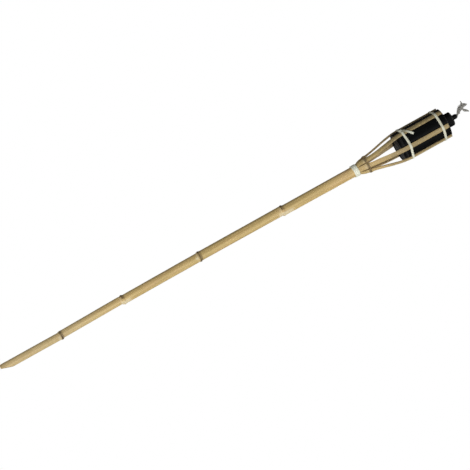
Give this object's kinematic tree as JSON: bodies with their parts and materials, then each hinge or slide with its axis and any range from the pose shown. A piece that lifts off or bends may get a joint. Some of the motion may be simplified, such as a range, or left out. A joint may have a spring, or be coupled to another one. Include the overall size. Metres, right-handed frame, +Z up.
{
  "type": "tiki torch",
  "caption": "Bamboo garden torch: a pointed culm pole split at the top into a lashed basket that holds a black screw-top fuel canister with a rope wick.",
  "frame": {"origin": "on the pole's axis at the ground line, at the top of the spike's plain cylinder, under the first node", "axes": "+Z up along the pole towards the wick; -Y faces the viewer, +X to the viewer's right; the spike's slanted cut is on the +X side"},
  "size_m": [0.0767, 0.0801, 1.2353],
  "materials": {
    "bamboo": "satin, natural skin",
    "cane": "matt split cane",
    "black_can": "semi-gloss black",
    "black_burner": "satin black",
    "washer_board": "plain",
    "wick_yarn": "frayed yarn"
  },
  "bodies": {
    "torch": {"pole": "bamboo", "stave_1": "bamboo", "stave_2": "bamboo", "stave_3": "bamboo", "stave_4": "bamboo", "stave_5": "bamboo", "stave_6": "bamboo", "neck_binding": "cane", "lower_binding": "cane", "upper_binding": "cane"},
    "canister": {"can_body": "black_can", "can_bottom": "black_can", "can_top": "black_can"},
    "burner": {"wick_tube": "black_burner", "holder_flange": "black_burner"},
    "washer": {"cap_washer": "washer_board"},
    "cap": {"screw_cap": "black_burner"},
    "wick": {"wick": "wick_yarn"}
  },
  "joints": [
    {"name": "canister_lift", "type": "slide", "parent": "torch", "child": "canister", "axis": [0, 0, 1], "range_m": [0, 0.16]},
    {"name": "burner_lift", "type": "slide", "parent": "canister", "child": "burner", "axis": [0, 0, 1], "range_m": [0, 0.138]},
    {"name": "wick_adjust", "type": "slide", "parent": "burner", "child": "wick", "axis": [0, 0, 1], "range_m": [-0.001, 0.02]},
    {"name": "cap_rise", "type": "slide", "parent": "burner", "child": "washer", "axis": [0, 0, 1], "range_m": [0, 0.006]},
    {"name": "cap_turn", "type": "hinge", "parent": "washer", "child": "cap", "pos_m": [0, 0, 1.02], "axis": [0, 0, 1], "range_deg": [0, 720]}
  ],
  "couplings": [
    {"joint": "cap_rise", "follows": "cap_turn", "m_per_rad": 0.000477}
  ]
}
